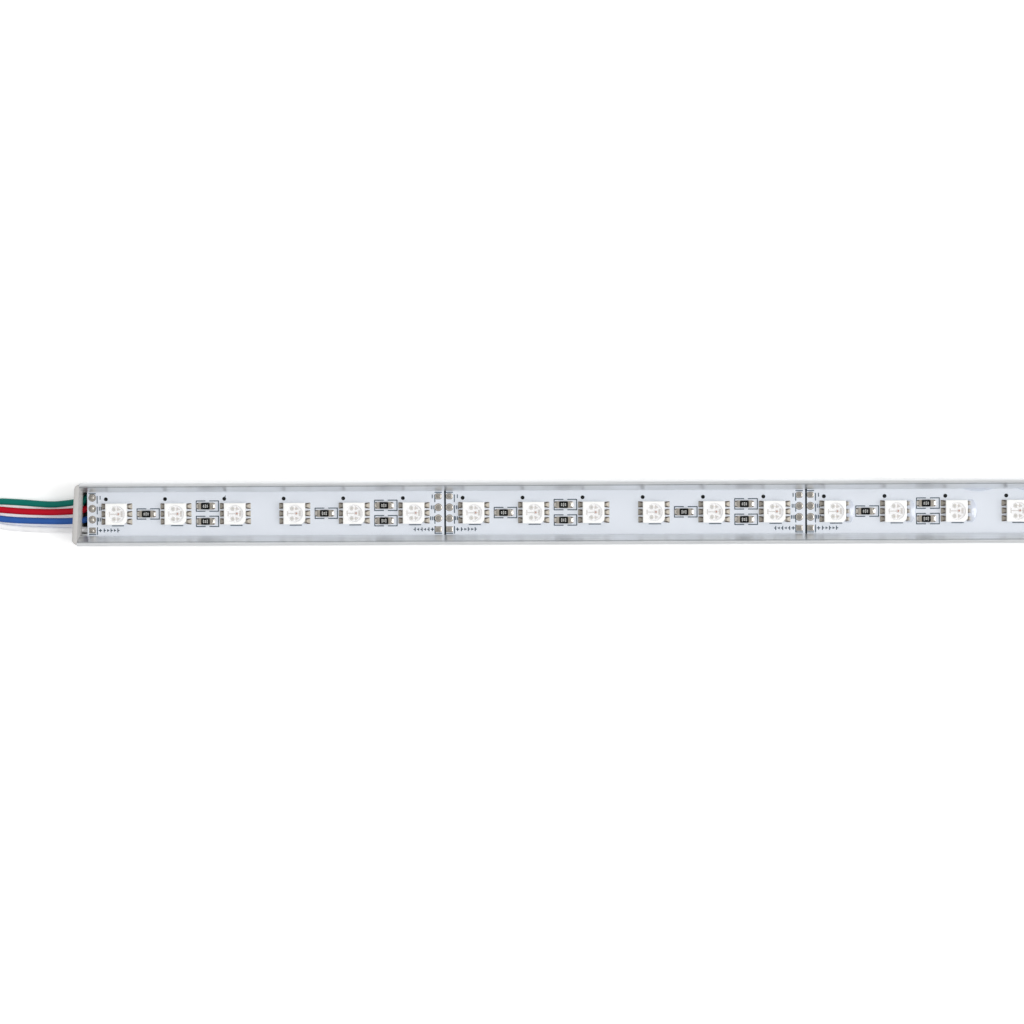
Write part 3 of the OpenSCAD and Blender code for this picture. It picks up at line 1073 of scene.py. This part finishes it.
def make_print():
    """Everything printed on the mask: dots, dashes, brackets, pad frames and generic marks."""
    ink, dots = Shape(), Shape()
    s = sizes()
    low, high = BOARD_TOP - 0.01 * MM, BOARD_TOP + 0.025 * MM
    for x in LED_X:
        dots.plate(disc(x + DOT_PLACE[0] * MM, DOT_PLACE[1] * MM, s.dot / 2), low, high)
        if x == LED_X[SLIPPED_DOT]:
            tail = ((-2.62, 3.6), (-2.42, 3.6), (-2.2, 4.2), (-2.38, 4.2))
            ink.plate([(x + px * MM, py * MM) for px, py in tail], low, high)
        below = -s.housing / 2 - 0.24 * MM
        ink_line(ink, x - 1.1 * MM, below, x + 1.55 * MM, below)
    single, paired = resistor_places()
    for cx, cy in single + paired:
        x = cx + 0.4 * MM
        across, tall, gap = 2.6 * MM, 1.2 * MM, 0.55 * MM
        for side in (-1, 1):
            ink_line(ink, x + side * across, cy - tall, x + side * across, cy + tall)
            for edge in (-1, 1):
                ink_line(ink, x + side * gap, cy + edge * tall, x + side * across, cy + edge * tall)
    for x, side in pad_columns():
        tall = 4.75 * MM
        far = x + side * (1.15 * MM if side > 0 else 0.8 * MM)
        for edge in (-1, 1):
            ink_line(ink, x - 0.75 * MM, edge * tall, x + 0.75 * MM, edge * tall)
        for row in (3.4, 0.9, -1.6, -3.9):
            ink_line(ink, far, (row - 0.85) * MM, far, (row + 0.75) * MM)
        rows = pad_rows()
        for number, y in enumerate(rows):
            ink_marks(ink, x + side * (1.85 * MM if side > 0 else 1.4 * MM), y, number + 1, side)
        base = x + side * (2.75 * MM if side > 0 else 2.2 * MM)
        for step in range(5):
            length = (0.36, 0.18, 0.36, 0.18, 0.36)[step] * MM
            bar = base + side * step * 0.8 * MM
            ink_line(ink, bar, rows[3] - length, bar, rows[3] + length)
            ink_line(ink, bar, rows[3], bar + side * 0.3 * MM, rows[3])
    ink.piece("printed_marks", ["ink"], "white_solder_mask", smooth=30)
    dots.piece("printed_dots", ["black_ink"], "white_solder_mask", smooth=30)


def pad_ring(x, y, z, kind, keep):
    """One ring of a pad's heap of solder: round, soft-cornered or square, scaled by keep."""
    s = sizes()
    if kind == "round":
        flat = disc(x, y, keep * s.pad / 2, 28)
    else:
        corner = (0.5 if kind == "soft" else 0.18) * MM * keep
        flat = rounded_box(x, y, 1.62 * MM * keep, 1.42 * MM * keep, corner, 6)
    return [Vector((px, py, BOARD_TOP + z * MM)) for px, py in flat]


def make_pads():
    """Tinned pads: round ones in the three colour rows and square ones in the supply row."""
    shape = Shape()
    for number, (x, _) in enumerate(pad_columns()):
        for row, y in enumerate(pad_rows()):
            kind = "square" if row == 3 else "soft" if row == 0 and number > 0 else "round"
            # wired pads are ring-like under the joint, the others are low uneven domes
            heap = ((1, 0), (0.87, 0.07), (0.78, 0.12), (0.6, 0.13), (0.4, 0.11), (0.05, 0.1))
            if number == 0:
                heap = ((1, 0), (0.87, 0.05), (0.76, 0.08), (0.6, 0.06), (0.4, 0.05), (0.05, 0.05))
            tilt = 0.12 * MM * noise.noise(Vector((x * 700, y * 700, 0)))
            rings = []
            for keep, z in heap:
                drift = (1 - keep) * tilt
                rings.append(pad_ring(x + drift, y - drift, z - 0.01 * (keep == 1), kind, keep))
            # each heap's first band, its sloping rim, takes painted shade: a dark outline
            shape.mound(rings, 1)
    shape.piece("tinned_pads", ["solder", "cut_edge"], "tinned_copper", ["solder_pads"], smooth=60)

    joints = Shape()
    x = BOARD_LOW.x + WIRED_PAD_X
    for number, y in enumerate(pad_rows()):
        lean = Vector((0.06 * MM * math.cos(number * 2.1), 0.06 * MM * math.sin(number * 2.1), 0))
        rings = []
        for reach, z in ((0.62, 0.05), (0.52, 0.16), (0.4, 0.28), (0.3, 0.38), (0.16, 0.43), (0.03, 0.45)):
            centre = Vector((x, y, BOARD_TOP + z * MM)) + lean * (z / 0.45)
            circle = [Vector((reach * MM * math.cos(a), reach * MM * math.sin(a), 0)) for a in turns(24)]
            rings.append([centre + p for p in circle])
        joints.loft(rings)
    joints.piece("wire_joints", ["solder"], "solder", ["wire_solder"], smooth=70)


# ---------------------------------------------------------------- leds


def housing_ring(half, chamfer, z, count=48):
    """A square ring with one cut corner, sampled by angle so that it meets a round ring point to point."""
    ring = []
    for a in turns(count):
        c, s = math.cos(a), math.sin(a)
        reach = half / max(abs(c), abs(s))
        x, y = reach * c, reach * s
        over = x - y - (2 * half - chamfer)
        if over > 0:
            x, y = x - over / 2, y + over / 2
        ring.append(Vector((x, y, z)))
    return ring


def round_ring(radius, z, count=48):
    return [Vector((radius * math.cos(a), radius * math.sin(a), z)) for a in turns(count)]


# depth of the cup below the housing's top, in millimetres
CUP_DEEP = 0.42


def housing_shape():
    """The moulded housing: drafted sides, soft top edge, chamfered corner, round cup with a lip."""
    s = sizes()
    half, high, cup = s.housing / 2, s.housing_height, s.cup / 2
    deep = CUP_DEEP * MM
    cut = 0.75 * MM
    shape = Shape()
    shape.loft(
        [
            housing_ring(half - 0.05 * MM, cut, 0.02 * MM),
            housing_ring(half, cut, 0.35 * MM),
            housing_ring(half - 0.02 * MM, cut, high - 0.12 * MM),
            housing_ring(half - 0.06 * MM, cut, high - 0.03 * MM),
            housing_ring(half - 0.13 * MM, cut, high),
            round_ring(cup + 0.06 * MM, high),
            round_ring(cup, high - 0.05 * MM),
            round_ring(cup - 0.1 * MM, high - 0.5 * deep),
            round_ring(cup - 0.2 * MM, high - deep),
        ]
    )
    return shape


def frame_islands():
    """Outlines of the lead-frame stampings on the cup's floor, in millimetres from the led's middle."""
    return [
        [(-1.02, 0.95), (-0.6, 0.62), (-0.16, 0.72), (-0.12, 1.5), (-0.45, 1.72), (-0.95, 1.5)],
        [(-0.95, -1.5), (-0.45, -1.72), (-0.12, -1.5), (-0.16, -0.72), (-0.6, -0.62), (-1.02, -0.95)],
        [(0.22, 0.72), (1.14, 1.05), (0.32, 1.72)],
        [(0.32, -1.72), (1.14, -1.05), (0.22, -0.72)],
        [(-1.66, -0.55), (-1.4, -0.55), (-1.4, 0.6), (-1.66, 0.6)],
        [(-1.4, -0.1), (0.15, -0.1), (0.15, 0.12), (-1.4, 0.12)],
        [(0.15, -0.34), (0.75, -0.34), (0.75, 0.4), (0.15, 0.4)],
        [(1.06, -0.62), (1.56, -0.62), (1.56, 0.7), (1.06, 0.7)],
    ]


def make_leds():
    """Housings with their cups, and inside each cup the stampings, three chips and bonding wires."""
    s = sizes()
    master = None
    for node, x in zip(LED_NODES, LED_X):
        spot = Vector((x, 0, BOARD_TOP))
        if master is None:
            first = housing_shape()
            made = first.piece(f"{node}_housing", ["housing"], "led_housing", [node], smooth=30, at=spot)
            master = made.data
        else:
            made = bpy.data.objects.new(f"{node}_housing", master)
            made.location = spot
            hang(made, [node])

    inside, resin = Shape(), Shape()
    floor = BOARD_TOP + s.housing_height - CUP_DEEP * MM
    for x in LED_X:
        inside.plate(disc(x, 0, 1.86 * MM, 32), floor - 0.02 * MM, floor + 0.01 * MM, slot=4)
        for number, outline in enumerate(frame_islands()):
            places = [(x + px * MM, py * MM) for px, py in outline]
            lift = 0.02 if number == 6 else 0.03
            inside.plate(places, floor - 0.01 * MM, floor + lift * MM, slot=0)
        chips = (((0.53, 0.05), 0.3, 1), ((-0.52, 1.18), 0.26, 2), ((-0.52, -1.18), 0.26, 2))
        ends = ((1.3, 0.05), (0.5, 1.2), (0.5, -1.2))
        for ((cx, cy), side, slot), (ex, ey) in zip(chips, ends):
            box = rounded_box(x + cx * MM, cy * MM, side * MM, side * MM, 0.02 * MM, 1)
            inside.plate(box, floor + 0.02 * MM, floor + 0.12 * MM, slot=slot)
            bond = []
            for i in range(7):
                t = i / 6
                rise = 0.1 * (1 - t) + 0.16 * math.sin(math.pi * t)
                along, across = cx + (ex - cx) * t, cy + (ey - cy) * t
                bond.append((x + along * MM, across * MM, floor + (0.03 + rise) * MM))
            inside.tube(bond, 0.016 * MM, count=5, slot=3)
        # the resin's top dips a little in the middle
        top = BOARD_TOP + s.housing_height
        cup = s.cup / 2
        rings = [
            [Vector((x + r * math.cos(a), r * math.sin(a), top + z * MM)) for a in turns(40)]
            for r, z in (
                (cup - 0.2 * MM, 0.06 - CUP_DEEP),
                (cup - 0.08 * MM, -0.2),
                (cup - 0.015 * MM, -0.05),
                (cup - 0.25 * MM, -0.08),
                (cup - 0.8 * MM, -0.1),
                (0.3 * MM, -0.11),
            )
        ]
        resin.loft(rings)
    finishes = ["lead_frame", "red_chip", "pale_chip", "gold", "cup_floor"]
    inside.piece("led_stampings", finishes, "tinned_copper", smooth=30)
    resin.piece("led_resin_fill", ["resin"], "led_resin", ["led_windows"], smooth=40)


def make_leads():
    """Six gull leads on each led, each with painted shade on its flanks in a bright fillet on its land."""
    s = sizes()
    metal = Shape()
    half = s.housing / 2
    # distance from the housing, height, half width of the lead's top and of the fillet's foot, in mm
    fillet = (
        (-0.1, 0.78, 0.36, 0.56),
        (0.08, 0.76, 0.34, 0.6),
        (0.2, 0.56, 0.3, 0.63),
        (0.34, 0.36, 0.3, 0.66),
        (0.55, 0.22, 0.36, 0.68),
        (0.8, 0.13, 0.46, 0.7),
        (1.05, 0.06, 0.56, 0.7),
        (1.14, 0.0, 0.6, 0.66),
    )
    for x in LED_X:
        for side in (-1, 1):
            for row in (-1, 0, 1):
                y = row * 1.04 * s.lead_pitch
                drift = noise.noise(Vector((x * 300, row * 3.1, side)))
                sections = []
                for away, z, top_mm, foot_mm in fillet:
                    top_half, foot = top_mm * MM, foot_mm * MM
                    height = z * (1 + 0.15 * drift) * MM
                    px = x + side * (half + (away + 0.04 * drift) * MM)
                    base = BOARD_TOP - 0.01 * MM
                    top = BOARD_TOP + height + 0.01 * MM
                    sections.append(
                        [
                            (px, y - foot, base),
                            (px, y + foot, base),
                            (px, y + foot, base + 0.12 * height),
                            (px, y + (top_half + 0.3 * (foot - top_half)), base + 0.45 * height),
                            (px, y + top_half, top),
                            (px, y + 0.12 * drift * MM, top - 0.03 * MM),
                            (px, y - top_half, top),
                            (px, y - (top_half + 0.3 * (foot - top_half)), base + 0.45 * height),
                            (px, y - foot, base + 0.12 * height),
                        ]
                    )
                # the flanks of each fillet take painted shade
                metal.loft(sections, edge_slots={1: 1, 2: 1, 3: 1, 6: 1, 7: 1, 8: 1})
    metal.piece("led_leads_soldered", ["tin", "cut_edge"], "tinned_copper", ["led_leads"], smooth=50)


# ---------------------------------------------------------------- resistors


def make_resistors():
    """Chip resistors: ceramic body, black glaze with generic marks, tinned ends and fillets."""
    finishes = ["alumina", "glaze", "tin", "solder", "marking", "cut_edge"]
    for kind, places in zip(("single", "paired"), resistor_places()):
        shape = Shape()
        for number, (x, y) in enumerate(places):
            resistor(shape, x, y, number)
        node = f"resistors_{kind}"
        shape.piece(f"chip_{node}", finishes, "resistor_ceramic", [node], smooth=35)


# solder at a resistor's end, in mm: distance from its middle, height, and how far its top draws in
RESISTOR_FILLET = (
    (1.5, 0.44, 0.06),
    (1.62, 0.4, 0.12),
    (1.72, 0.22, 0.24),
    (1.9, 0.1, 0.3),
    (2.15, 0.03, 0.2),
    (2.2, 0, 0.16),
)


def resistor(shape, x, y, number):
    top = BOARD_TOP + 0.55 * MM
    base = BOARD_TOP + 0.04 * MM
    body = rounded_box(x, y, 3.1 * MM, 1.54 * MM, 0.05 * MM, 2)
    shape.plate(body, base, top - 0.03 * MM, 0.03 * MM, slot=0)
    glaze = rounded_box(x, y, 2.12 * MM, 1.54 * MM, 0.16 * MM)
    shape.plate(glaze, base, top, 0.05 * MM, slot=1)
    for side in (-1, 1):
        end = rounded_box(x + side * 1.3 * MM, y, 0.6 * MM, 1.58 * MM, 0.07 * MM, 3)
        shape.plate(end, base - 0.02 * MM, top - 0.01 * MM, 0.06 * MM, slot=2)
        sections = []
        for away, z, narrow in RESISTOR_FILLET:
            px = x + side * away * MM
            half = (0.78 - (0.1 if away > 2.1 else 0)) * MM
            low, high = BOARD_TOP - 0.01 * MM, BOARD_TOP + (z + 0.01) * MM
            inner = half - narrow * MM
            sections.append(
                [(px, y - half, low), (px, y + half, low), (px, y + inner, high), (px, y - inner, high)]
            )
        # the fillet's two sloping sides take painted shade
        shape.loft(sections, slot=3, edge_slots={1: 5, 3: 5})
    # three short generic strokes in place of a printed value
    for step in (-1, 0, 1):
        tall = 0.58 * MM if (step + number) % 2 else 0.76 * MM
        mark = rounded_box(x + step * 0.44 * MM, y, 0.22 * MM, tall, 0.05 * MM, 2)
        shape.plate(mark, top - 0.01 * MM, top + 0.012 * MM, slot=4)
        hollow = rounded_box(x + step * 0.44 * MM, y, 0.1 * MM, tall - 0.2 * MM, 0.03 * MM, 2)
        shape.plate(hollow, top, top + 0.018 * MM, slot=1)


# ---------------------------------------------------------------- clear coat


# leds whose drop of resin ended in a visible arc, with its reach past the led's middle, in mm
DROPS = ((12, 4.4), (13, 4.5), (14, 4.6))
# crescents of resin on the +Y wall: distance from the first led, half length and depth, in mm
CRESCENTS = ((199.3, 3.4, 0.6), (211.3, 3, 0.6), (286, 3, 0.5))


def coat_height(x, y):
    """Height of the resin above the board: it climbs the leds and drifts a little."""
    nearest = min(LED_X, key=lambda led: abs(led - x))
    half = sizes().housing / 2
    dx, dy = max(0.0, abs(x - nearest) - half), max(0.0, abs(y) - half)
    from_led = math.hypot(dx, dy)
    climb = 0.12 * math.exp(-from_led / (0.18 * MM))
    drift = 0.01 * noise.noise(Vector((x * 160, y * 160, 1.7)))
    return (0.08 + climb + drift) * MM


def make_coat():
    """The flooded resin: one open sheet over the board between each pair of score lines."""
    half = sizes().opening / 2 + 0.04 * MM
    shape = Shape()
    # the sheet keeps clear of the pads, and its cells measure about 0.22 mm
    gap = 2.5 * MM
    rows = 44
    for section in range(SECTIONS):
        start = BOARD_LOW.x + SECTION * section + gap
        stop = start + SECTION - 2 * gap
        columns = round((stop - start) / (0.22 * MM))
        first = len(shape.points)
        for i in range(columns + 1):
            x = start + (stop - start) * i / columns
            edge = min(1.0, min(i, columns - i) / 3)
            for j in range(rows + 1):
                y = half * (2 * j / rows - 1)
                shape.points.append(Vector((x, y, BOARD_TOP + edge * coat_height(x, y) - 0.004 * MM)))
        for i in range(columns):
            for j in range(rows):
                corner = first + i * (rows + 1) + j
                shape.faces.append((corner, corner + rows + 1, corner + rows + 2, corner + 1))
                shape.slots.append(0)
    shape.piece("flooded_coat", ["coat"], "clear_resin", ["clear_coat"], smooth=80)


def make_pools():
    """Where the resin pooled: a halo past three leds, and thin crescents along the +Y wall, whose milky
    colour paints the highlight of their menisci.
    """
    shape = Shape()
    low, high, bevel = BOARD_TOP + 0.06 * MM, BOARD_TOP + 0.17 * MM, 0.08 * MM
    half_wide = 3.35 * MM
    for number, reach in DROPS:
        x = LED_X[number]
        steps = [math.radians(a) for a in range(-50, 51, 5)]
        arc = [(x + reach * MM * math.cos(a) ** 0.5, half_wide * math.sin(a)) for a in steps]
        near = x + sizes().housing / 2
        shape.plate([(near, arc[0][1]), *arc, (near, arc[-1][1])], low, high, bevel)
    wall = sizes().opening / 2
    for place, long, deep in CRESCENTS:
        middle_x = LED_X[0] + place * MM
        edge = []
        for step in range(17):
            t = step / 8 - 1
            edge.append((middle_x + t * long * MM, wall - deep * (1 - t * t) * MM))
        edge += [(edge[-1][0], wall + 0.1 * MM), (edge[0][0], wall + 0.1 * MM)]
        shape.plate(edge, low, high)
    shape.piece("pooled_resin", ["pool"], "clear_resin", smooth=60)


# ---------------------------------------------------------------- dust


DUST_SPECKS = 170
DUST_SEED = 7


def make_dust():
    """Fine bright swarf and dust on the inner walls."""
    shape = Shape()
    dice = random.Random(DUST_SEED)
    s = sizes()
    for _ in range(DUST_SPECKS):
        x = dice.uniform(CHANNEL_LOW.x + 4 * MM, CHANNEL_HIGH.x - 4 * MM)
        side = dice.choice((-1, 1))
        lift = dice.uniform(0.1, 1)
        # up the leaning wall, from the board to the groove
        y = s.opening / 2 + lift * (CHANNEL_HIGH.y - s.rim - s.opening / 2)
        z = BOARD_TOP + lift * (CHANNEL_HIGH.z - s.rim / 2 - BOARD_TOP)
        across = dice.uniform(0.04, 0.1) * MM
        along = across * dice.uniform(1, 2.4)
        centre = Vector((x, side * y, z))
        ring = []
        for a in turns(6):
            edge = Vector((along * math.cos(a), 0.3 * across * math.cos(a), across * math.sin(a)))
            ring.append(centre + edge)
        peak = [centre + 0.4 * (p - centre) + Vector((0, -side * 0.05 * MM, 0.02 * MM)) for p in ring]
        shape.loft([ring, peak])
    shape.piece("dust_specks", ["marking"], "anodised_aluminium", smooth=60)


# ---------------------------------------------------------------- operators


class StageOperator(bpy.types.Operator):
    """Set up the camera, the table and the studio light"""

    bl_idname = "batten.stage"
    bl_label = "Stage"

    def execute(self, context):
        make_stage()
        return {"FINISHED"}


class WiresOperator(bpy.types.Operator):
    """Lay the four free wires with their tinned tips and the strap"""

    bl_idname = "batten.wires"
    bl_label = "Free wires"

    def execute(self, context):
        make_wires()
        return {"FINISHED"}


class InnerWiresOperator(bpy.types.Operator):
    """Run the wires from the cap to the board"""

    bl_idname = "batten.inner_wires"
    bl_label = "Inner wires"

    def execute(self, context):
        make_inner_wires()
        return {"FINISHED"}


class ChannelOperator(bpy.types.Operator):
    """Build the aluminium channel"""

    bl_idname = "batten.channel"
    bl_label = "Channel"

    def execute(self, context):
        make_channel()
        return {"FINISHED"}


class CapsOperator(bpy.types.Operator):
    """Build the two end caps"""

    bl_idname = "batten.caps"
    bl_label = "End caps"

    def execute(self, context):
        make_caps()
        return {"FINISHED"}


class BoardOperator(bpy.types.Operator):
    """Build the scored circuit board"""

    bl_idname = "batten.board"
    bl_label = "Circuit board"

    def execute(self, context):
        make_board()
        return {"FINISHED"}


class PrintOperator(bpy.types.Operator):
    """Print the dots, brackets and marks on the board"""

    bl_idname = "batten.board_print"
    bl_label = "Board print"

    def execute(self, context):
        make_print()
        return {"FINISHED"}


class PadsOperator(bpy.types.Operator):
    """Tin the solder pads and solder the wires"""

    bl_idname = "batten.pads"
    bl_label = "Solder pads"

    def execute(self, context):
        make_pads()
        return {"FINISHED"}


class LedsOperator(bpy.types.Operator):
    """Build the led housings, chips and resin fillings"""

    bl_idname = "batten.leds"
    bl_label = "Leds"

    def execute(self, context):
        make_leds()
        return {"FINISHED"}


class LeadsOperator(bpy.types.Operator):
    """Build the soldered leads of the leds"""

    bl_idname = "batten.leads"
    bl_label = "Led leads"

    def execute(self, context):
        make_leads()
        return {"FINISHED"}


class ResistorsOperator(bpy.types.Operator):
    """Build the chip resistors"""

    bl_idname = "batten.resistors"
    bl_label = "Resistors"

    def execute(self, context):
        make_resistors()
        return {"FINISHED"}


class DustOperator(bpy.types.Operator):
    """Scatter fine dust on the inner walls"""

    bl_idname = "batten.dust"
    bl_label = "Dust"

    def execute(self, context):
        make_dust()
        return {"FINISHED"}


class CoatOperator(bpy.types.Operator):
    """Flood the board with clear resin"""

    bl_idname = "batten.coat"
    bl_label = "Clear coat"

    def execute(self, context):
        make_coat()
        make_pools()
        return {"FINISHED"}


OPERATORS = (
    StageOperator,
    WiresOperator,
    InnerWiresOperator,
    ChannelOperator,
    CapsOperator,
    BoardOperator,
    PrintOperator,
    PadsOperator,
    LedsOperator,
    LeadsOperator,
    ResistorsOperator,
    CoatOperator,
    DustOperator,
)


class BattenPanel(bpy.types.Panel):
    """Lists the batten's operators and settings"""

    bl_idname = "VIEW3D_PT_batten"
    bl_label = "Led strip batten"
    bl_space_type = "VIEW_3D"
    bl_region_type = "UI"
    bl_category = "Batten"

    def draw(self, context):
        for operator in OPERATORS:
            self.layout.operator(operator.bl_idname)
        for group in (context.scene.batten_sizes, context.scene.batten_colours):
            for name in group.bl_rna.properties.keys():
                if name not in ("rna_type", "name"):
                    self.layout.prop(group, name)


CLASSES = (BattenSizes, BattenColours, *OPERATORS, BattenPanel)


def register():
    for each in CLASSES:
        bpy.utils.register_class(each)
    bpy.types.Scene.batten_sizes = PointerProperty(type=BattenSizes)
    bpy.types.Scene.batten_colours = PointerProperty(type=BattenColours)


def unregister():
    del bpy.types.Scene.batten_colours
    del bpy.types.Scene.batten_sizes
    for each in reversed(CLASSES):
        bpy.utils.unregister_class(each)


def main():
    register()
    for operator in OPERATORS:
        group, name = operator.bl_idname.split(".")
        getattr(getattr(bpy.ops, group), name)()


if __name__ == "__main__":
    main()
